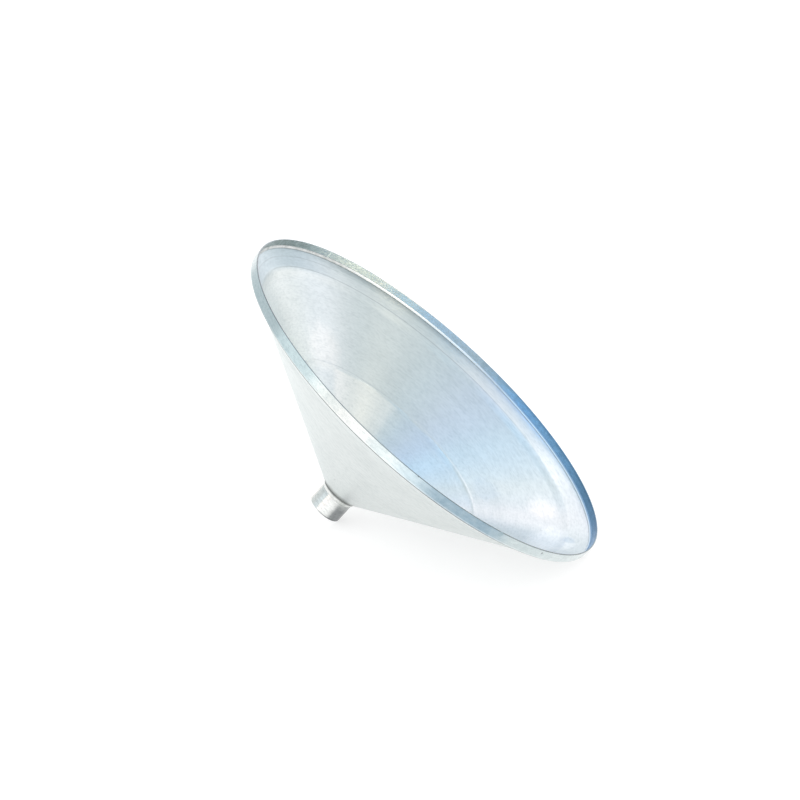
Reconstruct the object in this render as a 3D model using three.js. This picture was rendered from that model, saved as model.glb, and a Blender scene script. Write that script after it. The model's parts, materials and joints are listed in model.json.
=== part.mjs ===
// Canning funnel: a wide spun cone, a hoop round its mouth and a short spout tube,
// lying on its side as it is put down on a worktop, on its rim and on the end of its spout.
// Millimetres, +Z up. Every piece is turned about the funnel's own axis.
import * as THREE from 'three';

// ---- driving dimensions ----
const MOUTH_RADIUS = 152.5;        // outside of the rim hoop: a 12 inch mouth
const SHEET = 0.8;                 // spun sheet, square to its surface
const JOINT_GAP = 0.3;             // between pieces that are welded together

const BAND_WALL = 0.9;             // rim hoop
const BAND_HEIGHT = 7.3;

const EDGE_DEPTH = 6.6;            // lip down to the top of the cone's outer edge
const FLANGE_INNER_RADIUS = 138.0; // the shallow flange ends at this ring
const FLANGE_INNER_DEPTH = 13.2;
const STEP_INNER_RADIUS = 133.5;   // a steeper step leads on to the cone
const STEP_INNER_DEPTH = 17.1;
const CONE_SLOPE = THREE.MathUtils.degToRad(34.5);
const RIDGE_RADIUS = 82.3;         // raised ring half-way down the cone
const RIDGE_HEIGHT = 0.5;
const RIDGE_HALF_WIDTH = 1.8;
const GROOVE_RADIUS = 78.5;        // shallow groove just inside the raised ring
const GROOVE_DEPTH = 0.35;
const GROOVE_HALF_WIDTH = 2.0;

const SPOUT_RADIUS = 12.7;         // one inch tube
const SPOUT_WALL = 1.0;
const SPOUT_END_DEPTH = 118;       // lip down to the end of the spout
const SPOUT_TOP_RISE = 0.4;        // how far the tube stands into the cone

const RIM_WELD_LEG = 1.2;          // fillet inside the rim
const SPOUT_WELD_LEG = 3.0;        // fillet round the root of the spout

const SEGMENTS = 72;
const FACET_TURN = Math.PI / SEGMENTS; // puts the middle of a facet on the floor
const ARC_STEPS = 4;

// ---- places worked out from them ----
// depth of the cone's inner surface at radius r, inside the step
const coneDepth = (r) => STEP_INNER_DEPTH + (STEP_INNER_RADIUS - r) * Math.tan(CONE_SLOPE);
const coneEdgeRadius = MOUTH_RADIUS - BAND_WALL - JOINT_GAP;
const flangeSlope = Math.atan2(FLANGE_INNER_DEPTH - EDGE_DEPTH, coneEdgeRadius - FLANGE_INNER_RADIUS);
const throatRadius = SPOUT_RADIUS + JOINT_GAP;
const sheetDrop = SHEET / Math.cos(CONE_SLOPE);          // sheet measured along the axis
const gapDrop = JOINT_GAP / Math.cos(CONE_SLOPE);

const aluminium = (color, roughness) =>
  new THREE.MeshStandardMaterial({ color, roughness, metalness: 1 });
const satinSheet = aluminium(0xcfd6da, 0.38);
const bandSheet = aluminium(0xc3cdd2, 0.28);
const tube = aluminium(0xc8cac6, 0.3);
const weld = aluminium(0xa3a8a6, 0.55);

// A ring turned about the funnel's axis. The outline is drawn with x outwards and y up
// from the lip, anticlockwise, and closes on itself.
function turned(name, outline, material) {
  outline.closePath();
  const points = outline.getPoints(ARC_STEPS);
  const geometry = new THREE.LatheGeometry(points, SEGMENTS, FACET_TURN);
  const mesh = new THREE.Mesh(geometry, material);
  mesh.name = name;
  return mesh;
}

// ---- the spun cone, one sheet from the rim to the throat ----
function funnelCone() {
  const inner = [
    [coneEdgeRadius, -EDGE_DEPTH],
    [FLANGE_INNER_RADIUS, -FLANGE_INNER_DEPTH],
    [STEP_INNER_RADIUS, -STEP_INNER_DEPTH],
    [RIDGE_RADIUS + RIDGE_HALF_WIDTH, -coneDepth(RIDGE_RADIUS + RIDGE_HALF_WIDTH)],
    [RIDGE_RADIUS, -coneDepth(RIDGE_RADIUS) + RIDGE_HEIGHT],
    [GROOVE_RADIUS + GROOVE_HALF_WIDTH, -coneDepth(GROOVE_RADIUS + GROOVE_HALF_WIDTH)],
    [GROOVE_RADIUS, -coneDepth(GROOVE_RADIUS) - GROOVE_DEPTH],
    [GROOVE_RADIUS - GROOVE_HALF_WIDTH, -coneDepth(GROOVE_RADIUS - GROOVE_HALF_WIDTH)],
    [throatRadius, -coneDepth(throatRadius)],
  ];
  const sheet = new THREE.Path();
  sheet.moveTo(...inner[0]);
  inner.slice(1).forEach(([r, s]) => sheet.lineTo(r, s));
  inner.reverse().forEach(([r, s]) => sheet.lineTo(r, s - sheetDrop));
  return turned('funnel_cone', sheet, satinSheet);
}

// ---- the hoop round the mouth, square at the lip and rounded under ----
function rimBand() {
  const innerRadius = MOUTH_RADIUS - BAND_WALL;
  const hoop = new THREE.Path();
  hoop.moveTo(MOUTH_RADIUS, 0);
  hoop.lineTo(innerRadius, 0);
  hoop.lineTo(innerRadius, -BAND_HEIGHT);
  hoop.absarc(innerRadius, -BAND_HEIGHT + BAND_WALL, BAND_WALL, -Math.PI / 2, 0, false);
  return turned('rim_band', hoop, bandSheet);
}

// ---- the fillet of weld in the corner between the cone and the hoop ----
function rimWeld() {
  const wall = coneEdgeRadius;
  const lift = JOINT_GAP / Math.cos(flangeSlope);
  const foot = wall - RIM_WELD_LEG;
  const floorAt = (r) => -EDGE_DEPTH - (wall - r) * Math.tan(flangeSlope) + lift;
  const fillet = new THREE.Path();
  fillet.moveTo(wall, floorAt(wall) + RIM_WELD_LEG);
  fillet.quadraticCurveTo(wall - RIM_WELD_LEG / 3, floorAt(wall) + RIM_WELD_LEG / 3, foot, floorAt(foot));
  fillet.lineTo(wall, floorAt(wall));
  return turned('rim_weld', fillet, weld);
}

// ---- the spout, a plain tube cut square ----
function spoutTube() {
  const top = -coneDepth(throatRadius) + SPOUT_TOP_RISE;
  const bore = SPOUT_RADIUS - SPOUT_WALL;
  const wall = new THREE.Path();
  wall.moveTo(SPOUT_RADIUS, -SPOUT_END_DEPTH);
  wall.lineTo(SPOUT_RADIUS, top);
  wall.lineTo(bore, top);
  wall.lineTo(bore, -SPOUT_END_DEPTH);
  return turned('spout_tube', wall, tube);
}

// ---- the fillet of weld round the root of the spout ----
function spoutWeld() {
  const tubeSide = throatRadius;
  const foot = tubeSide + SPOUT_WELD_LEG;
  const ceilingAt = (r) => -coneDepth(r) - sheetDrop - gapDrop;
  const fillet = new THREE.Path();
  fillet.moveTo(tubeSide, ceilingAt(tubeSide) - SPOUT_WELD_LEG);
  fillet.quadraticCurveTo(tubeSide + SPOUT_WELD_LEG / 4, ceilingAt(tubeSide) - SPOUT_WELD_LEG / 3,
    foot, ceilingAt(foot));
  fillet.lineTo(tubeSide, ceilingAt(tubeSide));
  return turned('spout_weld', fillet, weld);
}

// ---- assembly, standing on its axis ----
const upright = new THREE.Group();
upright.rotation.x = Math.PI / 2;  // turned shapes stand along Y; this stands them along Z
upright.add(funnelCone(), rimBand(), rimWeld(), spoutTube(), spoutWeld());

// ---- laid down: the floor touches the rounded foot of the hoop and the end of the spout ----
const apothem = Math.cos(FACET_TURN);
const reach = (MOUTH_RADIUS - BAND_WALL - SPOUT_RADIUS) * apothem;
const drop = SPOUT_END_DEPTH - BAND_HEIGHT + BAND_WALL;
const axisElevation = Math.atan2(reach, drop) + Math.asin(BAND_WALL / Math.hypot(reach, drop));

const laid = new THREE.Group();
laid.rotation.y = Math.PI / 2 - axisElevation;
laid.add(upright);

// origin: middle of the box on the floor
const funnel = new THREE.Group();
funnel.add(laid);
const box = new THREE.Box3().setFromObject(funnel, true);
const middle = box.getCenter(new THREE.Vector3());
laid.position.set(-middle.x, -middle.y, -box.min.z);

export default funnel;
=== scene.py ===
"""Canning funnel: a spun metal cone, a hoop round its mouth and a short spout tube.

Every piece is turned about the funnel's own axis, in a frame of its own: Z points out of the
mouth, Z = 0 is the lip, and X points down the slope of the mouth. funnel_place() puts that
frame where the CAD has it. Lengths are in metres.
"""

import json
import math
from functools import cached_property

import bpy
import numpy as np
from mathutils import Matrix, Vector


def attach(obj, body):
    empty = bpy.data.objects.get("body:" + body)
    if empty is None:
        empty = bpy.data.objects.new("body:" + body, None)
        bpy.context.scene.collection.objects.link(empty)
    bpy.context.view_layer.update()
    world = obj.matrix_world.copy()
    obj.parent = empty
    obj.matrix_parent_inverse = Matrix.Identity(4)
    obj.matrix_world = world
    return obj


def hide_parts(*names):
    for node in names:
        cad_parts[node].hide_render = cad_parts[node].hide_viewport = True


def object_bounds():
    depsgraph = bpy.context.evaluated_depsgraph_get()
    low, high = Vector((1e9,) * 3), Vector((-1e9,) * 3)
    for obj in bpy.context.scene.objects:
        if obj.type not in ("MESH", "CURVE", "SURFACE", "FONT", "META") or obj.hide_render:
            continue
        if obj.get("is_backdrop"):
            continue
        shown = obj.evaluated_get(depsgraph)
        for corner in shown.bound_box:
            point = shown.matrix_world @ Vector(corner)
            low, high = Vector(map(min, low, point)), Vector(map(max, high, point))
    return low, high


MM = 0.001

# ---- the funnel, in its own frame; the same sizes as the CAD ----
MOUTH_RADIUS = 152.5 * MM
SHEET_DROP = 0.97 * MM             # the sheet's thickness measured along the axis
BAND_WALL = 0.9 * MM
BAND_HEIGHT = 7.3 * MM
CONE_EDGE_RADIUS = 151.3 * MM
CONE_LINE = [                      # (radius, depth) of the cone's inner surface
    (151.3 * MM, 6.6 * MM),        # outer edge, inside the hoop
    (138.0 * MM, 13.2 * MM),       # end of the shallow flange
    (133.5 * MM, 17.1 * MM),       # foot of the step
    (82.3 * MM, 52.1 * MM),        # raised ring
    (13.0 * MM, 99.92 * MM),       # throat
]
LINE_ROUNDING = 0.40 * MM          # how softly the sheet bends at those rings
RIDGE = (82.3 * MM, 0.32 * MM, 0.7 * MM)    # radius, height, width of the raised ring
GROOVE = (78.4 * MM, -0.10 * MM, 1.5 * MM)  # the shallow groove just inside it
RINGS = (138.0 * MM, 133.5 * MM, 82.3 * MM, 78.4 * MM)
RING_THROUGH = 0.55                # the share of a ring's height that shows on the outside
SPOUT_RADIUS = 12.7 * MM
SPOUT_WALL = 1.0 * MM
SPOUT_TOP = -99.52 * MM
SPOUT_END = -118.0 * MM
THROAT_RADIUS = 13.0 * MM
WELD_OVERLAP = 0.02 * MM           # the welds sit this far into the hoop and the spout
FILLET_CORNER = -6.27 * MM         # z of the rim weld's corner, just clear of the flange
BEAD_CORNER = -101.25 * MM         # z of the spout weld's corner, just clear of the cone

FLANGE_FALL = 0.496                # how far the flange drops for each metre inwards
CONE_FALL = 0.687                  # and the cone
CONE_SLOPE = math.radians(34.5)
HOOP_SEAM_ANGLE = math.radians(128)

LIP_MOUNT_RADIUS = 151.906 * MM    # from the axis out to the mouth_lip mount

# ---- how finely it is made ----
SEGMENTS = 288                     # round the axis
SEAM_REACH = 1.6 * MM              # finer still, this far to each side of the hoop's seam
SEAM_CLEAR = 2.2 * MM              # the plain segments stay this far away from it
SEAM_STEPS = 17
RING_STEP = 0.4 * MM               # down the cone, within RING_REACH of a ring
PLAIN_STEP = 1.1 * MM              # down the rest of the cone
RING_REACH = 3.2 * MM
HOOP_STEP = 0.6 * MM
SPOUT_STEP = 0.9 * MM

# ---- how far it is from perfect ----
SHEET_RIPPLES = [                  # height, length and seed of the ripples down the cone
    (0.010 * MM, 2.1 * MM, 3),
    (0.022 * MM, 5.3 * MM, 4),
]
CONE_WAVES = [                     # height, waves round the axis, phase, phase per metre out
    (0.10 * MM, 2, 0.6, 0),
    (0.05 * MM, 5, 2.1, 9),
    (0.03 * MM, 9, 4.0, 0),
]
HOOP_WAVES = [                     # height, waves round the axis, phase
    (0.035 * MM, 3, 1.0),
    (0.020 * MM, 7, 0.4),
    (0.012 * MM, 17, 0.0),
]
SEAM_WIDTH = 0.45 * MM
SEAM_PINCH = 0.35                  # the share of the hoop's wall that is filed away at the seam
SPOUT_OVAL = 0.03 * MM
SPOUT_NICKS = [                    # depth, nicks per radian, seed: the spout's end is filed
    (0.05 * MM, 6, 21),
    (0.03 * MM, 17, 22),
]
NICK_REACH = 1.2 * MM
BEAD_RIPPLES = 46                  # ripples round the spout's weld
BEAD_RIPPLE_HEIGHT = 0.05 * MM
BEAD_SEED = 5

# ---- how it is photographed ----
CAMERA_DISTANCE = 1.22             # metres from the point it looks at
CAMERA_AZIMUTH = -1.10             # degrees, these three
CAMERA_ELEVATION = 24.0
CAMERA_ROLL = 1.41
CAMERA_LENS = 79.72                # millimetres on a sensor SENSOR wide
SENSOR = 36.0
CAMERA_AIM = Vector((-22.2, -2.3, -6.1)) * MM  # where it looks, from the middle of the mouth

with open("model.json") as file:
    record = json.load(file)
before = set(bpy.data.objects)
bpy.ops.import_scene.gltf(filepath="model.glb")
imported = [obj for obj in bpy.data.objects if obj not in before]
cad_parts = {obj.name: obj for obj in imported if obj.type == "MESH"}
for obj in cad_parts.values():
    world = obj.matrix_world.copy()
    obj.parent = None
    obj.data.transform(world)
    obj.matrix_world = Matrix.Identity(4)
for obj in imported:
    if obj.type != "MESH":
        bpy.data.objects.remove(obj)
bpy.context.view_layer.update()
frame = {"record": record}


# ---------------------------------------------------------------- frame
def funnel_place(record):
    """The matrix from the funnel's own frame to the row frame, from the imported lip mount."""
    lip = next(m for m in record["mounts"] if m["name"] == "mouth_lip")
    axis = Vector(lip["axis"]).normalized()
    down = Vector((axis.z, 0, -axis.x))
    mouth = Vector(lip["pos_m"]) + down * LIP_MOUNT_RADIUS
    return Matrix.Translation(mouth) @ Matrix((down, axis.cross(down), axis)).transposed().to_4x4()


PLACE = funnel_place(frame["record"])
MOUTH = PLACE.translation.copy()


# ---------------------------------------------------------------- shapes
def arc(centre, radius, start, end, steps):
    """Points of an arc in the (radius, z) plane, angles in degrees."""
    turn = np.radians(np.linspace(start, end, steps + 1))
    return [(centre[0] + radius * math.cos(t), centre[1] + radius * math.sin(t)) for t in turn]


def run(start, end, step):
    """Points along a straight line, without its ends, about step apart."""
    start, end = np.array(start), np.array(end)
    count = max(2, round(float(np.linalg.norm(end - start)) / step))
    return [tuple(start + (end - start) * k / count) for k in range(1, count)]


def ring_angles(extra=()):
    """Angles round the axis, with more of them close to each extra angle."""
    turns = list(np.arange(SEGMENTS) * 2 * math.pi / SEGMENTS)
    fine = np.linspace(-SEAM_REACH, SEAM_REACH, SEAM_STEPS) / MOUTH_RADIUS
    for angle in extra:
        turns = [t for t in turns if abs(t - angle) > SEAM_CLEAR / MOUTH_RADIUS]
        turns += list(angle + fine)
    return np.array(sorted(turns))


def turned(name, outline, angles=None, wobble=None):
    """A closed outline of (radius, z) points turned about Z. wobble(r, z, angle) moves the
    points. The UV map has the share of a turn, and the distance along the outline."""
    angles = ring_angles() if angles is None else angles
    outline = np.array(outline, float)
    r, a = np.meshgrid(outline[:, 0], angles, indexing="ij")
    z = np.repeat(outline[:, 1][:, None], len(angles), 1)
    if wobble:
        r, z = wobble(r, z, a)
    points, turns = r.shape
    verts = np.stack([r * np.cos(a), r * np.sin(a), z], -1).reshape(-1, 3)
    i, j = np.meshgrid(np.arange(points), np.arange(turns), indexing="ij")
    i2, j2 = (i + 1) % points, (j + 1) % turns
    faces = np.stack([i * turns + j, i * turns + j2, i2 * turns + j2, i2 * turns + j], -1)
    mesh = bpy.data.meshes.new(name)
    mesh.from_pydata(verts.tolist(), [], faces.reshape(-1, 4).tolist())
    way = np.concatenate([[0], np.cumsum(np.hypot(*np.diff(
        np.vstack([outline, outline[:1]]), axis=0).T))])
    share = np.concatenate([angles, [angles[0] + 2 * math.pi]]) / (2 * math.pi)
    corners = ((j, i), (j + 1, i), (j + 1, i + 1), (j, i + 1))
    uv = np.stack([np.stack([share[col], way[row]], -1) for col, row in corners], 2)
    mesh.uv_layers.new(name="turned").data.foreach_set("uv", uv.astype(np.float32).ravel())
    mesh.shade_smooth()
    piece = bpy.data.objects.new(name, mesh)
    bpy.context.scene.collection.objects.link(piece)
    return piece


def soft_noise(x, length, seed):
    """A smooth random curve of x, from -1 to 1, that turns about every length."""
    count = 4096
    picks = np.random.default_rng(seed).uniform(-1, 1, count)
    t = np.asarray(x) / length + count // 2
    k = np.floor(t).astype(int)
    f = t - k
    f = f * f * (3 - 2 * f)
    return picks[k % count] * (1 - f) + picks[(k + 1) % count] * f


def cone_samples():
    """Radii down the cone, from the edge to the throat, closer together at its rings."""
    radii, r = [], CONE_EDGE_RADIUS - 0.2 * MM
    while r > THROAT_RADIUS + 0.3 * MM:
        radii.append(r)
        near = min(abs(r - ring) for ring in RINGS)
        r -= RING_STEP if near < RING_REACH else PLAIN_STEP
    return np.array(radii)


def cone_surface(radii, ring_share=1.0):
    """Z of the inner surface at each radius: straight runs softly bent, a ring and a groove."""
    step = 0.1 * MM
    fine = np.arange(8 * MM, 160 * MM, step)
    line = np.array(sorted(CONE_LINE))
    depth = np.interp(fine, line[:, 0], line[:, 1])
    for end, inner in ((0, 1), (-1, -2)):  # carry the end runs straight on
        slope = (line[end, 1] - line[inner, 1]) / (line[end, 0] - line[inner, 0])
        past = fine < line[0, 0] if end == 0 else fine > line[-1, 0]
        depth[past] = line[end, 1] + (fine[past] - line[end, 0]) * slope
    reach = np.arange(-30, 31) * step
    bell = np.exp(-0.5 * (reach / LINE_ROUNDING) ** 2)
    depth = np.convolve(np.pad(depth, len(reach) // 2, "edge"), bell / bell.sum(), "valid")
    z = -np.interp(radii, fine, depth)
    for radius, height, width in (RIDGE, GROOVE):
        z += ring_share * height * np.exp(-(((radii - radius) / width) ** 2))
    for height, length, seed in SHEET_RIPPLES:
        z += height * soft_noise(radii, length, seed)
    return z


def cone_wobble(r, z, a):
    """The hand of the spinner: the cone is up to 0.1 mm off true, but not at its edge."""
    share = (r / MOUTH_RADIUS) ** 2 * (1 - (r / CONE_EDGE_RADIUS) ** 12)
    lift = sum(height * np.sin(count * a + phase + turn * r)
               for height, count, phase, turn in CONE_WAVES)
    return r, z + share * lift


def funnel_cone():
    """The spun sheet, with its two surfaces, its outer edge and its throat."""
    radii = cone_samples()
    inner = list(zip(radii, cone_surface(radii)))
    outer = list(zip(radii, cone_surface(radii, RING_THROUGH) - SHEET_DROP))
    edge_ease, throat_ease = 0.06 * MM, 0.08 * MM
    inner_edge = [(CONE_EDGE_RADIUS, inner[0][1] - 0.12 * MM),
                  (CONE_EDGE_RADIUS - edge_ease, inner[0][1] - 0.02 * MM)]
    outer_edge = [(CONE_EDGE_RADIUS - edge_ease, outer[0][1] + 0.05 * MM),
                  (CONE_EDGE_RADIUS, outer[0][1] + 0.2 * MM)]
    throat = [(THROAT_RADIUS + throat_ease, inner[-1][1] - 0.25 * MM),
              (THROAT_RADIUS, inner[-1][1] - 0.5 * MM),
              (THROAT_RADIUS, outer[-1][1] - 0.02 * MM),
              (THROAT_RADIUS + throat_ease, outer[-1][1] - 0.18 * MM)]
    outline = inner_edge + inner + throat + outer[::-1] + outer_edge
    return turned("cone_sheet", outline[::-1], wobble=cone_wobble)


def rim_hoop():
    """The band round the mouth: eased at the lip, rounded under, with a seam filed flush."""
    inside = MOUTH_RADIUS - BAND_WALL
    edge, foot, ease = 0.22 * MM, 0.86 * MM, 0.05 * MM
    outline = arc((MOUTH_RADIUS - edge, -edge), edge, 0, 90, 4)
    outline += arc((inside + edge, -edge), edge, 90, 180, 4)
    outline += run((inside, -edge), (inside, -BAND_HEIGHT + ease), HOOP_STEP)
    outline += [(inside, -BAND_HEIGHT + ease), (inside + 0.04 * MM, -BAND_HEIGHT)]
    outline += arc((MOUTH_RADIUS - foot, -BAND_HEIGHT + foot), foot, -85, 0, 7)
    outline += run((MOUTH_RADIUS, -BAND_HEIGHT + foot), (MOUTH_RADIUS, -edge), HOOP_STEP)

    def wobble(r, z, a):
        seam = np.exp(-(((a - HOOP_SEAM_ANGLE) * MOUTH_RADIUS / SEAM_WIDTH) ** 2))
        middle = MOUTH_RADIUS - BAND_WALL / 2
        waves = sum(height * np.sin(count * a + phase) for height, count, phase in HOOP_WAVES)
        return r + (middle - r) * SEAM_PINCH * seam + waves * (r / MOUTH_RADIUS), z
    return turned("rim_hoop", outline[::-1], ring_angles([HOOP_SEAM_ANGLE]), wobble)


def bead_wobble(count, height, seed):
    """The ripples of a weld bead: drops of metal laid one after another round the joint, not
    quite evenly spaced and not all of one height."""
    def wobble(r, z, a):
        phase = count * a + 0.8 * soft_noise(a * 9, 1, seed)
        drops = np.abs(np.sin(phase / 2)) - 0.6
        ripple = drops + 0.5 * soft_noise(a * 23, 1, seed + 1)
        return r + ripple * height, z - ripple * height
    return wobble


def rim_fillet():
    """The dressed weld in the corner between the flange and the hoop."""
    wall = MOUTH_RADIUS - BAND_WALL + WELD_OVERLAP
    leg = 1.15 * MM

    def above_floor(inwards, height):
        """A point that far in from the wall and that far above the flange."""
        return wall - inwards, FILLET_CORNER - inwards * FLANGE_FALL + height

    face = [(0.10, 0.80), (0.26, 0.47), (0.52, 0.16)]     # mm in, mm above the corner
    outline = [(wall - 0.03 * MM, FILLET_CORNER + leg)]
    outline += [(wall - inwards * MM, FILLET_CORNER + height * MM) for inwards, height in face]
    outline += [above_floor(0.85 * MM, 0.10 * MM), above_floor(leg, 0.01 * MM),
                above_floor(0.6 * MM, 0), above_floor(0, 0), above_floor(0, 0.6 * MM)]
    return turned("rim_fillet", outline)


def spout_tube():
    """A plain tube with its edges eased, a little oval, and nicked at its lower end."""
    bore = SPOUT_RADIUS - SPOUT_WALL
    edge = 0.25 * MM
    outline = arc((SPOUT_RADIUS - edge, SPOUT_TOP - edge), edge, 0, 90, 3)
    outline += arc((bore + edge, SPOUT_TOP - edge), edge, 90, 180, 3)
    outline += run((bore, SPOUT_TOP - edge), (bore, SPOUT_END + edge), SPOUT_STEP)
    outline += arc((bore + edge, SPOUT_END + edge), edge, 180, 270, 3)
    outline += arc((SPOUT_RADIUS - edge, SPOUT_END + edge), edge, 270, 360, 3)
    outline += run((SPOUT_RADIUS, SPOUT_END + edge), (SPOUT_RADIUS, SPOUT_TOP - edge), SPOUT_STEP)

    def wobble(r, z, a):
        low = np.clip((SPOUT_END + NICK_REACH - z) / NICK_REACH, 0, 1)
        nicks = sum(depth * soft_noise(a * count, 1, seed) for depth, count, seed in SPOUT_NICKS)
        return r + SPOUT_OVAL * np.sin(2 * a), z + low * nicks
    return turned("spout_tube_drawn", outline[::-1], wobble=wobble)


def spout_bead():
    """The rough weld in the corner between the spout and the underside of the cone."""
    side = SPOUT_RADIUS - WELD_OVERLAP
    leg = 2.2 * MM

    def under_cone(out, down):
        """A point out from the spout and down from the cone, both as shares of the leg."""
        return side + out * leg, BEAD_CORNER + out * leg * CONE_FALL - down * leg

    shares = [(0, 0), (0, 1), (0.14, 0.86), (0.22, 0.66), (0.36, 0.45), (0.56, 0.26),
              (0.78, 0.10), (1, 0), (0.5, 0)]
    outline = [under_cone(out, down) for out, down in shares]
    return turned("spout_bead", outline[::-1],
                  wobble=bead_wobble(BEAD_RIPPLES, BEAD_RIPPLE_HEIGHT, BEAD_SEED))


# ---------------------------------------------------------------- materials
# The layers of a turned finish: noise drawn out round the axis. Each has the length and width of
# its lines (the width as a multiple of the piece's grain), its detail and an offset of its own.
STREAKS = {
    "fine": (15 * MM, 1.0, 2.0, 0.0),
    "dashes": (4 * MM, 1.2, 2.0, 67.0),
    "medium": (50 * MM, 3.4, 1.0, 11.0),
    "broad": (130 * MM, 17.0, 1.0, 23.0),
    "scratch": (3 * MM, 0.7, 1.0, 41.0),
    "mottle": (3.2 * MM, 2.2, 3.0, 89.0),
}
DIRT_LAYERS = [                    # layer, where it starts to show, where it is full, share
    ("cloud", 0.42, 0.72, 0.22),
    ("medium", 0.35, 0.75, 0.14),
    ("broad", 0.35, 0.70, 0.10),
    ("fine", 0.40, 0.75, 0.12),
    ("dashes", 0.42, 0.72, 0.32),
    ("mottle", 0.40, 0.70, 0.30),
]
ROUGHNESS_LAYERS = [("fine", 0.08), ("dashes", 0.06), ("mottle", 0.08), ("speck", 0.3)]
RELIEF_LAYERS = [("fine", 1.0), ("medium", 1.8), ("dashes", 0.9), ("mottle", 1.3),
                 ("scratch", -0.8), ("speck", -2.0)]
LAYER_ROUGHNESS = 0.11             # about what those layers add, taken off the piece's own

SCRATCH_TONE = (0.50, 0.52, 0.52)
SPECK_TONE = (0.16, 0.16, 0.15)
# the lip's sawn edge, with painted shade on its near side
SAWN_LIP_AND_SHADE_TONE = (0.10, 0.115, 0.12)
# painted shade at the spout's end
SPOUT_END_SHADE_TONE = (0.16, 0.17, 0.17)
# painted highlight on the hoop's foot
FOOT_HIGHLIGHT_TONE = (0.90, 0.92, 0.91)
# painted shade under the hoop's foot
FOOT_SHADE_TONE = (0.07, 0.075, 0.075)
# painted shade in the crease under the hoop
CREASE_SHADE_TONE = (0.10, 0.11, 0.11)
# painted shade on the flange beside the weld
FLANGE_SHADE_TONE = (0.30, 0.34, 0.36)
RING_LINE_TONE = (0.22, 0.24, 0.25)
# painted shade round the spout's root
ROOT_SHADE_TONE = (0.20, 0.21, 0.205)
BEAD_ROOT_TONE = (0.17, 0.18, 0.175)
WELD_GRAIN_TONE = (0.22, 0.23, 0.22)
# painted blue reflection inside the hoop
BLUE_REFLECTION_TONES = ((0.34, 0.63, 1.0), (0.16, 0.31, 0.50), (0.21, 0.41, 0.68), (0.06, 0.13, 0.22))


def cos_degrees(angle):
    return math.cos(math.radians(angle))


class Graph:
    """A material's node tree, with short calls for the nodes used here. A tuple of three
    numbers is a colour or a vector."""

    def __init__(self, name):
        self.material = bpy.data.materials.new(name)
        self.material.use_nodes = True
        self.tree = self.material.node_tree
        self.shader = self.tree.nodes["Principled BSDF"]
        self.row_point = self.node("ShaderNodeTexCoord").outputs["Object"]

    def node(self, kind, **settings):
        made = self.tree.nodes.new(kind)
        for key, value in settings.items():
            setattr(made, key, value)
        return made

    def put(self, socket, value):
        if isinstance(value, bpy.types.NodeSocket):
            self.tree.links.new(value, socket)
        elif value is not None:
            socket.default_value = value

    def shade(self, **values):
        """Sets the shader's sockets: Base_Color=..., Roughness=... and so on."""
        for key, value in values.items():
            self.put(self.shader.inputs[key.replace("_", " ")], value)

    def math(self, operation, a, b=None, c=None):
        made = self.node("ShaderNodeMath", operation=operation)
        for socket, value in zip(made.inputs, (a, b, c)):
            self.put(socket, value)
        return made.outputs[0]

    def product(self, first, *others):
        for other in others:
            first = self.math("MULTIPLY", first, other)
        return first

    def weighed(self, rows, start=0.0):
        """start plus the sum of value times weight over the rows."""
        for value, weight in rows:
            start = self.math("MULTIPLY_ADD", value, weight, start)
        return start

    def vector(self, operation, a, b=None, scale=None):
        made = self.node("ShaderNodeVectorMath", operation=operation)
        self.put(made.inputs[0], a)
        self.put(made.inputs[1], b)
        if scale is not None:
            made.inputs["Scale"].default_value = scale
        return made.outputs["Value" if operation in ("LENGTH", "DOT_PRODUCT") else "Vector"]

    def combine(self, x=0.0, y=0.0, z=0.0):
        made = self.node("ShaderNodeCombineXYZ")
        for socket, value in zip(made.inputs, (x, y, z)):
            self.put(socket, value)
        return made.outputs[0]

    def noise(self, vector, scale=1.0, detail=2.0, rough=0.5):
        made = self.node("ShaderNodeTexNoise")
        self.put(made.inputs["Vector"], vector)
        made.inputs["Scale"].default_value = scale
        made.inputs["Detail"].default_value = detail
        made.inputs["Roughness"].default_value = rough
        return made.outputs[0]

    def remap(self, value, low, high, to_low=0.0, to_high=1.0, kind="SMOOTHSTEP"):
        """to_low where the value is at low, to_high where it is at high, held past the ends."""
        made = self.node("ShaderNodeMapRange", interpolation_type=kind)
        for key, number in zip(("Value", "From Min", "From Max", "To Min", "To Max"),
                               (value, low, high, to_low, to_high)):
            self.put(made.inputs[key], number)
        return made.outputs[0]

    def mix(self, share, a, b):
        made = self.node("ShaderNodeMix", data_type="RGBA")
        self.put(made.inputs[0], share)
        for socket, tone in ((made.inputs[6], a), (made.inputs[7], b)):
            self.put(socket, (*tone, 1) if isinstance(tone, tuple) else tone)
        return made.outputs[2]

    def bump(self, height, strength, distance):
        made = self.node("ShaderNodeBump")
        made.inputs["Strength"].default_value = strength
        made.inputs["Distance"].default_value = distance
        self.put(made.inputs["Height"], height)
        return made.outputs[0]


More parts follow.
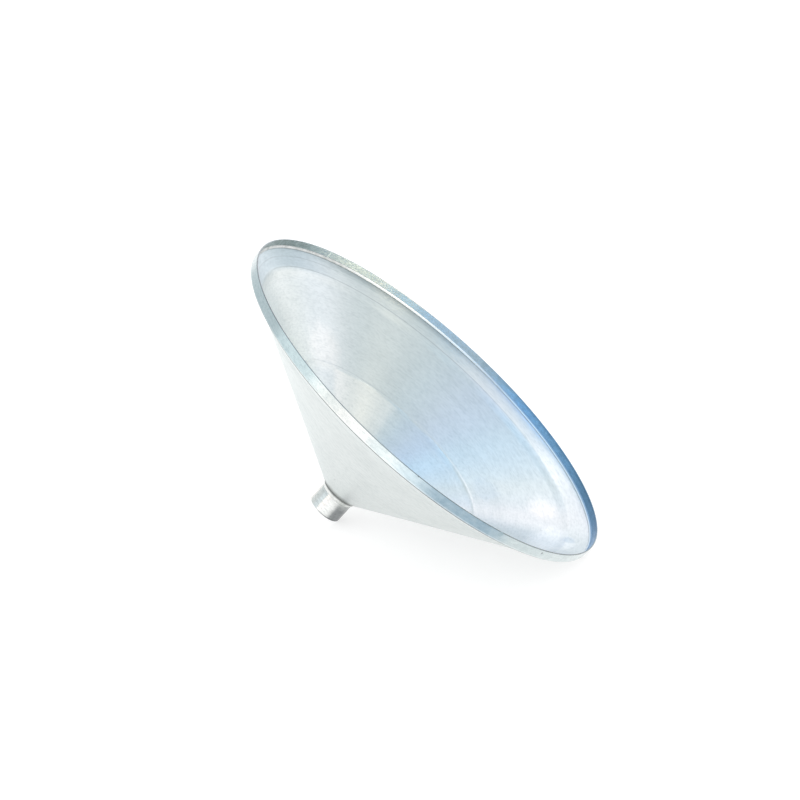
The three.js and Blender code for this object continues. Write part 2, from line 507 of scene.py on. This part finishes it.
class FunnelGraph(Graph):
    """A graph that knows where its point is in the funnel's own frame."""

    def __init__(self, name):
        super().__init__(name)
        from_mouth = self.vector("SUBTRACT", self.row_point, tuple(PLACE.translation))
        axes = [tuple(PLACE.col[k].to_3d()) for k in range(3)]
        self.x, self.y, self.z = [self.vector("DOT_PRODUCT", from_mouth, axis) for axis in axes]
        self.point = self.combine(self.x, self.y, self.z)
        self.outwards = self.combine(self.x, self.y)
        self.radius = self.vector("LENGTH", self.outwards)

    @cached_property
    def inner_face(self):
        """1 on the inside of the cone, 0 on its outside."""
        depth = CONE_LINE[0][1]
        for (r0, d0), (r1, d1) in zip(CONE_LINE, CONE_LINE[1:]):
            depth = self.math("ADD", depth, self.remap(self.radius, r0, r1, 0.0, d1 - d0, "LINEAR"))
        return self.remap(self.math("ADD", self.z, depth), -0.70 * MM, -0.35 * MM)

    def inner_side(self):
        """1 on the inside of the hoop, 0 on its outside."""
        return self.remap(self.radius, MOUTH_RADIUS - 0.75 * MM, MOUTH_RADIUS - 0.45 * MM, 1.0, 0.0)

    def above_flange(self):
        """How far the point is above the top of the flange, measured along the axis."""
        radius, depth = CONE_LINE[0]
        top = self.math("MULTIPLY_ADD", self.radius, -FLANGE_FALL, depth + radius * FLANGE_FALL)
        return self.math("ADD", self.z, top)

    def towards(self, angle):
        """The cosine of the turn between the point and an angle round the funnel, in degrees."""
        turn = math.radians(angle)
        along = self.weighed([(self.y, math.sin(turn)), (self.x, math.cos(turn))])
        return self.math("DIVIDE", along, self.radius)

    def sector(self, angle, half_width, share, core=0.5):
        """share at an angle round the funnel, fading out between core of half_width and all of
        it. Degrees."""
        return self.remap(self.towards(angle), cos_degrees(half_width),
                          cos_degrees(half_width * core), 0.0, share)


def turned_metal(name, colour, dirt_tint, rough, grain, size, along, anisotropy=0.7,
                 scratches=1.0, speck_share=0.012, marks=()):
    """Metal finished in a lathe: lines that run round the axis, tarnish, specks and scratches.

    grain is the width of the finest lines, and size a typical radius of the piece. along is
    (share of radius, share of z), which makes the distance down the piece's surface. Each of
    marks takes the graph, and gives how much of a colour shows and the colour. dirt_tint is
    what the dirt multiplies the colours by.
    """
    g = FunnelGraph(name)
    layers = turned_layers(g, grain, size, along, scratches, speck_share)
    dirt = g.weighed([(g.remap(layers[key], low, high), share)
                      for key, low, high, share in DIRT_LAYERS])
    tone = painted(g, colour, marks)
    tone = g.mix(dirt, tone, g.vector("MULTIPLY", tone, dirt_tint))
    tone = g.mix(g.product(layers["scratch"], 0.3), tone, SCRATCH_TONE)
    tone = g.mix(layers["speck"], tone, SPECK_TONE)

    roughness = g.weighed([(layers[key], share) for key, share in ROUGHNESS_LAYERS],
                          rough - LAYER_ROUGHNESS)
    relief = g.weighed([(layers[key], share) for key, share in RELIEF_LAYERS])
    round_axis = g.node("ShaderNodeTangent", direction_type="UV_MAP", uv_map="turned")
    g.shade(Base_Color=tone, Metallic=1.0, Roughness=roughness, Anisotropic=anisotropy,
            Anisotropic_Rotation=0.25, Tangent=round_axis.outputs[0],
            Normal=g.bump(relief, 0.45, 0.02 * MM))
    return g.material


def turned_layers(g, grain, size, along, scratches, speck_share):
    """The patterns that a turned finish is mixed from, by name."""
    down = g.math("MULTIPLY_ADD", g.radius, along[0], g.product(g.z, along[1]))
    unit = g.vector("NORMALIZE", g.outwards)
    layers = {}
    for name, (length, width, detail, offset) in STREAKS.items():
        round_axis = g.vector("SCALE", unit, scale=size / length)
        lines = g.combine(z=g.math("MULTIPLY_ADD", down, 1 / (grain * width), offset))
        layers[name] = g.noise(g.vector("ADD", round_axis, lines), detail=detail)
    layers["scratch"] = g.remap(layers["scratch"], 0.66, 0.76, 0.0, scratches)
    layers["cloud"] = g.noise(g.point, scale=34.0, detail=4.0, rough=0.6)
    layers["speck"] = specks(g, speck_share)
    return layers


def specks(g, share):
    """A small dark speck in that share of the cells of a net 7 mm wide."""
    cells = g.node("ShaderNodeTexVoronoi", feature="F1")
    g.put(cells.inputs["Vector"], g.point)
    cells.inputs["Scale"].default_value = 150.0
    pick = g.node("ShaderNodeSeparateColor")
    g.put(pick.inputs[0], cells.outputs["Color"])
    chosen = g.math("LESS_THAN", pick.outputs[0], share)
    return g.product(chosen, g.remap(cells.outputs["Distance"], 0.05, 0.13, 1.0, 0.0))


def painted(g, tone, marks):
    """The colour with each mark laid over it in turn."""
    for mark in marks:
        share, paint = mark(g)
        tone = g.mix(share, tone, paint)
    return tone


def weld_metal(name, bright, dull, marks=()):
    """Weld metal, wire-brushed: grainy and duller than the sheet."""
    g = FunnelGraph(name)
    grain = g.noise(g.row_point, scale=900.0, detail=3.0, rough=0.6)
    cloud = g.noise(g.row_point, scale=160.0, detail=3.0)
    tone = g.mix(g.remap(cloud, 0.35, 0.7), bright, dull)
    tone = g.mix(g.product(g.remap(grain, 0.5, 0.8), 0.5), tone, WELD_GRAIN_TONE)
    g.shade(Base_Color=painted(g, tone, marks), Metallic=1.0,
            Roughness=g.remap(grain, 0.3, 0.7, 0.38, 0.55), Normal=g.bump(grain, 0.6, 0.05 * MM))
    return g.material


def floor_material():
    g = Graph("pale_floor")
    g.shade(Base_Color=g.mix(g.noise(g.row_point, scale=6.0), *FLOOR_TONES),
            Emission_Color=(1, 1, 1, 1), Emission_Strength=FLOOR_GLOW, Roughness=1.0,
            Specular_IOR_Level=0.0)
    return g.material


# ---- marks: each function below is one, or makes one ----
def sawn_lip_and_shade(g):
    """The lip is a sawn edge, left dull, with painted shade that makes it darkest on the near side.
    """
    near_side = g.remap(g.towards(255), -0.2, 0.4, 0.25, 0.75)
    return g.product(near_side, g.remap(g.z, -0.42 * MM, -0.20 * MM)), SAWN_LIP_AND_SHADE_TONE


def blue_painted_reflection(g):
    """A blue painted reflection on the inside of the hoop, deepest at its lower end."""
    pale, deep, cloudy, edge = BLUE_REFLECTION_TONES
    spread = g.remap(g.towards(12), 0.42, 0.88, 0.0, 0.95)
    low_end = g.remap(g.towards(0), 0.88, 0.99, 0.0, 0.8)
    cloud = g.remap(g.noise(g.point, scale=190.0, detail=4.0, rough=0.65), 0.35, 0.65, 0.0, 0.5)
    blue = g.mix(cloud, g.mix(low_end, pale, deep), cloudy)
    blue = g.mix(g.remap(g.z, -2.6 * MM, -0.5 * MM, 0.0, 0.35), blue, edge)
    return g.product(g.inner_side(), spread), blue


def hoop_painted_light(angle, half_width, inside, share, paint):
    """Patchy painted reflection, highlight and shade on one stretch of one side of the hoop."""
    def mark(g):
        side = g.inner_side() if inside else g.math("SUBTRACT", 1.0, g.inner_side())
        cloud = g.noise(g.point, scale=260.0, detail=4.0, rough=0.65)
        patchy = g.remap(cloud, 0.35, 0.6, 0.55 if inside else 0.85, 1.0)
        return g.product(side, g.sector(angle, half_width, share, core=0.3), patchy), paint
    return mark


def foot_painted_highlight(g):
    """A painted highlight along the rounded foot of the hoop."""
    return g.remap(g.z, -5.7 * MM, -6.1 * MM, 0.0, 0.25), FOOT_HIGHLIGHT_TONE


def foot_painted_shade(g):
    """Painted shade in the corner under the foot of the hoop."""
    return g.remap(g.z, -6.78 * MM, -7.0 * MM, 0.0, 0.9), FOOT_SHADE_TONE


def spot(angle, radius, z, size, paint):
    """A single small mark, size in radius, at an angle round the funnel."""
    centre = (radius * cos_degrees(angle), radius * math.sin(math.radians(angle)), z)

    def mark(g):
        gap = g.vector("LENGTH", g.vector("SUBTRACT", g.point, centre))
        return g.remap(gap, 0.4 * size, size, 0.9, 0.0), paint
    return mark


def spout_painted_light(angle, half_width, share, paint):
    """Painted reflection, highlight and shade down one side of the spout, weaker near its root."""
    def mark(g):
        low = g.remap(g.z, -109 * MM, -103 * MM, 1.0, 0.5)
        patchy = g.remap(g.noise(g.point, scale=420.0, detail=3.0), 0.3, 0.6, 0.88, 1.0)
        return g.product(g.sector(angle, half_width, share, core=0.4), low, patchy), paint
    return mark


def spout_end_shade(g):
    """Painted shade at the end of the spout, on one side, running a little up its side."""
    low = g.remap(g.z, SPOUT_END + 0.5 * MM, SPOUT_END + 1.3 * MM, 0.75, 0.0)
    return g.product(low, g.remap(g.towards(300), 0.2, 0.9)), SPOUT_END_SHADE_TONE


def crease_painted_shade(g):
    """A dark line of painted shade where the underside of the sheet goes in under the hoop."""
    under = g.remap(g.above_flange(), -0.55 * MM, -0.35 * MM, 1.0, 0.0)
    return g.product(under, g.remap(g.radius, 149.9 * MM, 150.7 * MM, 0.0, 0.9)), CREASE_SHADE_TONE


def flange_shade(g):
    """Painted shade on the flange beside the weld, at the back."""
    back = g.remap(g.towards(98), 0.80, 0.97, 0.0, 0.42)
    top = g.remap(g.above_flange(), -0.35 * MM, -0.15 * MM)
    return g.product(back, top, g.remap(g.radius, 144.5 * MM, 150.2 * MM)), FLANGE_SHADE_TONE


def flange_painted_reflection(angle, half_width, share, paint):
    """Painted reflection over the whole flange on one side."""
    def mark(g):
        flange = g.remap(g.radius, 135 * MM, 140 * MM)
        return g.product(g.sector(angle, half_width, share, core=0.4), flange, g.inner_face), paint
    return mark


def inside_ring_reflection(angle, half_width, share, paint):
    """A painted reflection that ends at the raised ring, on one side of the cone inside it."""
    def mark(g):
        within = g.remap(g.radius, 80.6 * MM, 81.6 * MM, 1.0, 0.0)
        past_throat = g.remap(g.radius, 34 * MM, 58 * MM)
        near = g.sector(angle, half_width, share, core=0.75)
        return g.product(near, within, past_throat, g.inner_face), paint
    return mark


def ring_line(radius, width, share, angle, half_width):
    """A thin darker line beside one of the rings, on one side of the cone."""
    def mark(g):
        off = g.math("ABSOLUTE", g.math("SUBTRACT", g.radius, radius))
        line = g.remap(off, 0.3 * width, width, 1.0, 0.0)
        return g.product(line, g.sector(angle, half_width, share), g.inner_face), RING_LINE_TONE
    return mark


def painted_reflection_patch(angle, radius, half_round, half_down, share, paint):
    """A ragged soft-edged patch of painted reflection inside the cone, its half sizes round the
    axis and down it.
    """
    turn = math.radians(angle)

    def mark(g):
        aside = g.weighed([(g.y, math.cos(turn)), (g.x, -math.sin(turn))])
        aside = g.math("DIVIDE", aside, half_round)
        down = g.math("DIVIDE", g.math("SUBTRACT", g.radius, radius), half_down)
        gap = g.math("SQRT", g.weighed([(down, down)], g.product(aside, aside)))
        ragged = g.noise(g.point, scale=150.0, detail=4.0, rough=0.6)
        near = g.remap(g.weighed([(ragged, 0.7)], gap), 0.85, 1.6, share, 0.0)
        this_side = g.remap(g.towards(angle), 0.0, 0.3)
        return g.product(near, this_side, g.inner_face), paint
    return mark


def root_painted_shade(g):
    """Painted shade on the cone round the root of the spout."""
    return g.remap(g.radius, 15.5 * MM, 24.0 * MM, 0.8, 0.0), ROOT_SHADE_TONE


def root_shade(g):
    """The bead round the spout is dark where it meets the cone."""
    return g.remap(g.radius, 13.4 * MM, 14.6 * MM, 0.0, 0.8), BEAD_ROOT_TONE


def weld_painted_light(angle, half_width, share, paint, between=None):
    """Painted reflection and highlight: a different tone on one stretch of a weld, coming in
    between two radii if they are given.
    """
    def mark(g):
        near = g.sector(angle, half_width, share)
        return (g.product(near, g.remap(g.radius, *between)) if between else near), paint
    return mark


# ---------------------------------------------------------------- studio
FLOOR_RADIUS = 6.0
FLOOR_TONES = ((0.42, 0.42, 0.425), (0.44, 0.44, 0.44))
FLOOR_GLOW = 0.64                  # the floor is a pale sheet lit from under it as well
FLOOR_LIGHT = 1.50                 # the surround's light on the floor
SURROUND = (0.811, 0.888, 0.927)   # what the metal sees where there is no light
LIGHT_SIZE = 0.36
LIGHT_DISTANCE = 1.0
LIGHTS = [                         # azimuth, elevation, red, green and blue watts
    (-54, 6, (0.20, 0.15, 0.12)),
    (-51, 20, (0.16, 0.13, 0.12)),
    (-36, 6, (0.17, 0.11, 0.09)),
    (0, 90, (0.03, 0.21, 0.36)),
    (26, 36, (0.02, 0.36, 0.75)),
    (36, 6, (0.58, 0.45, 0.28)),
    (54, 6, (1.76, 1.46, 1.11)),
    (72, 74, (0.00, 0.05, 0.17)),
    (108, 6, (0.09, 0.07, 0.07)),
    (116, 54, (0.00, 0.02, 0.10)),
    (126, 6, (0.12, 0.11, 0.13)),
    (144, 74, (0.00, 0.04, 0.11)),
    (149, 20, (0.24, 0.20, 0.21)),
    (152, 54, (0.02, 0.08, 0.16)),
    (154, 36, (0.16, 0.16, 0.17)),
    (162, 6, (0.12, 0.11, 0.12)),
    (169, 20, (0.18, 0.14, 0.15)),
    (180, 36, (0.06, 0.07, 0.11)),
]


def studio_world():
    """A pale surround: the camera sees white, the floor an even light, and the metal SURROUND."""
    world = bpy.data.worlds.new("studio")
    bpy.context.scene.world = world
    world.use_nodes = True
    tree = world.node_tree
    back = tree.nodes["Background"]
    path = tree.nodes.new("ShaderNodeLightPath")

    def choose(share, a, b):
        made = tree.nodes.new("ShaderNodeMix")
        made.data_type = "RGBA"
        tree.links.new(share, made.inputs[0])
        for socket, value in ((made.inputs[6], a), (made.inputs[7], b)):
            if isinstance(value, tuple):
                socket.default_value = value
            else:
                tree.links.new(value, socket)
        return made.outputs[2]

    light = choose(path.outputs["Is Glossy Ray"], (FLOOR_LIGHT,) * 3 + (1,), (*SURROUND, 1))
    light = choose(path.outputs["Is Camera Ray"], light, (1, 1, 1, 1))
    tree.links.new(light, back.inputs["Color"])


def direction(azimuth, elevation):
    """The way from the funnel out to a camera or a light. Azimuth 0 is the front. Degrees."""
    a, e = math.radians(azimuth), math.radians(elevation)
    return Vector((math.sin(a) * math.cos(e), -math.cos(a) * math.cos(e), math.sin(e)))


def soft_light(name, azimuth, elevation, watts):
    """A round soft light, turned to the mouth, that only shows in the metal."""
    lamp = bpy.data.lights.new(name, "AREA")
    lamp.shape = "DISK"
    lamp.size = LIGHT_SIZE
    lamp.energy = max(watts)
    lamp.color = [w / max(watts) for w in watts]
    light = bpy.data.objects.new(name, lamp)
    bpy.context.scene.collection.objects.link(light)
    away = direction(azimuth, elevation)
    light.location = MOUTH + away * LIGHT_DISTANCE
    light.rotation_mode = "QUATERNION"
    light.rotation_quaternion = away.to_track_quat("Z", "Y")
    light.visible_camera = False
    light.visible_diffuse = False
    return light


def studio_camera():
    """The camera at the photograph's angle."""
    data = bpy.data.cameras.new("camera")
    data.lens, data.sensor_width = CAMERA_LENS, SENSOR
    data.clip_start, data.clip_end = 0.05, 60
    camera = bpy.data.objects.new("camera", data)
    bpy.context.scene.collection.objects.link(camera)
    back = direction(CAMERA_AZIMUTH, CAMERA_ELEVATION)
    roll = Matrix.Rotation(math.radians(CAMERA_ROLL), 4, "Z").to_quaternion()
    camera.rotation_mode = "QUATERNION"
    camera.rotation_quaternion = back.to_track_quat("Z", "Y") @ roll
    camera.location = MOUTH + CAMERA_AIM + back * CAMERA_DISTANCE
    bpy.context.scene.camera = camera


def studio_floor(height):
    """A wide round floor at that height: a small disc with a broad ring round it."""
    mesh = bpy.data.meshes.new("floor")
    count = 96
    turns = [2 * math.pi * k / count for k in range(count)]
    verts = [(radius * math.cos(turn), radius * math.sin(turn), height)
             for radius in (FLOOR_RADIUS, 20 * MM) for turn in turns]
    faces = [(k, (k + 1) % count, count + (k + 1) % count, count + k) for k in range(count)]
    faces.append(tuple(range(count, 2 * count)))
    mesh.from_pydata(verts, [], faces)
    floor = bpy.data.objects.new("floor", mesh)
    bpy.context.scene.collection.objects.link(floor)
    mesh.materials.append(floor_material())
    floor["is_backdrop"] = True


# ---------------------------------------------------------------- the scene
def place(piece, node, material):
    """Puts a piece where the CAD has it, in place of its CAD node."""
    piece.data.transform(PLACE)
    piece.data.materials.append(material)
    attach(piece, "root")
    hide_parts(node)


# Most marks below are painted light: reflection, highlight and shade laid into the colour; the
# specks and spots are the metal's own.
sheet = turned_metal(
    "cone_sheet", (0.735, 0.77, 0.76), (0.79, 0.81, 0.815), 0.33, 0.85 * MM, 90 * MM,
    (math.cos(CONE_SLOPE), math.sin(CONE_SLOPE)), anisotropy=0.8,
    marks=[flange_painted_reflection(170, 50, 0.95, (0.50, 0.58, 0.61)),
           flange_painted_reflection(46, 34, 0.8, (0.98, 0.96, 0.92)),
           flange_shade,
           inside_ring_reflection(103, 24, 0.6, (0.95, 0.93, 0.88)),
           inside_ring_reflection(38, 42, 0.6, (0.66, 0.735, 0.77)),
           painted_reflection_patch(133, 93 * MM, 20 * MM, 15 * MM, 0.55, (0.93, 0.91, 0.87)),
           painted_reflection_patch(18, 93 * MM, 14 * MM, 9 * MM, 0.5, (0.66, 0.73, 0.78)),
           painted_reflection_patch(338, 130 * MM, 30 * MM, 14 * MM, 0.9, (0.97, 0.98, 0.96)),
           painted_reflection_patch(5, 124 * MM, 16 * MM, 9 * MM, 0.6, (0.93, 0.91, 0.87)),
           painted_reflection_patch(343, 139 * MM, 7 * MM, 4 * MM, 0.5, (0.50, 0.60, 0.68)),
           ring_line(138.2 * MM, 0.5 * MM, 0.32, 105, 75),
           ring_line(145.2 * MM, 0.5 * MM, 0.22, 160, 50),
           ring_line(83.4 * MM, 0.45 * MM, 0.20, 112, 40),
           root_painted_shade, crease_painted_shade])
band = turned_metal(
    "band_strip", (0.58, 0.645, 0.65), (0.76, 0.79, 0.80), 0.24, 1.1 * MM, 152 * MM,
    (0.3, 1.0), anisotropy=0.6, scratches=0.3,
    marks=[hoop_painted_light(78, 24, True, 0.85, (0.76, 0.84, 0.92)),
           hoop_painted_light(100, 11, True, 0.8, (0.94, 0.90, 0.80)),
           hoop_painted_light(164, 36, True, 0.9, (0.20, 0.25, 0.23)),
           blue_painted_reflection,
           hoop_painted_light(224, 13, False, 0.8, (0.88, 0.97, 0.96)),
           hoop_painted_light(251, 15, False, 0.9, (0.86, 0.92, 0.91)),
           hoop_painted_light(266, 10, False, 0.6, (0.56, 0.70, 0.78)),
           hoop_painted_light(279, 16, False, 0.9, (0.27, 0.38, 0.46)),
           hoop_painted_light(325, 24, False, 0.7, (0.72, 0.77, 0.77)),
           foot_painted_highlight, foot_painted_shade, sawn_lip_and_shade,
           spot(264, 151.9 * MM, -0.2 * MM, 1.1 * MM, (0.08, 0.09, 0.09)),
           spot(290, 152.5 * MM, -1.4 * MM, 2.6 * MM, (0.34, 0.43, 0.47)),
           spot(306, 152.5 * MM, -2.4 * MM, 0.9 * MM, (0.15, 0.16, 0.16))])
tube = turned_metal(
    "spout_metal", (0.74, 0.755, 0.73), (0.68, 0.69, 0.69), 0.22, 0.6 * MM, 13 * MM,
    (0.3, 1.0), anisotropy=0.5,
    marks=[spout_painted_light(318, 62, 1.0, (0.28, 0.295, 0.30)),
           spout_painted_light(192, 32, 0.7, (0.88, 0.85, 0.80)),
           spout_painted_light(246, 40, 0.9, (0.98, 0.99, 0.97)),
           spout_end_shade])
dressed = weld_metal("rim_weld_metal", (0.66, 0.67, 0.66), (0.52, 0.54, 0.53),
                     marks=[weld_painted_light(92, 34, 0.85, (0.90, 0.91, 0.90)),
                            weld_painted_light(15, 60, 0.9, (0.84, 0.90, 0.94)),
                            weld_painted_light(15, 60, 0.9, (0.26, 0.42, 0.60),
                                       between=(150.95 * MM, 151.3 * MM))])
rough_weld = weld_metal("spout_weld_metal", (0.86, 0.87, 0.85), (0.64, 0.66, 0.64),
                        marks=[root_shade])

place(funnel_cone(), "funnel_cone", sheet)
place(rim_hoop(), "rim_band", band)
place(rim_fillet(), "rim_weld", dressed)
place(spout_tube(), "spout_tube", tube)
place(spout_bead(), "spout_weld", rough_weld)

bpy.context.view_layer.update()
studio_world()
studio_camera()
studio_floor(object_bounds()[0].z)
for number, light in enumerate(LIGHTS):
    soft_light(f"soft_light_{number:02d}", *light)

scene = bpy.context.scene
scene.view_settings.view_transform = "Standard"
scene.view_settings.look = "None"
scene.cycles.use_denoising = True
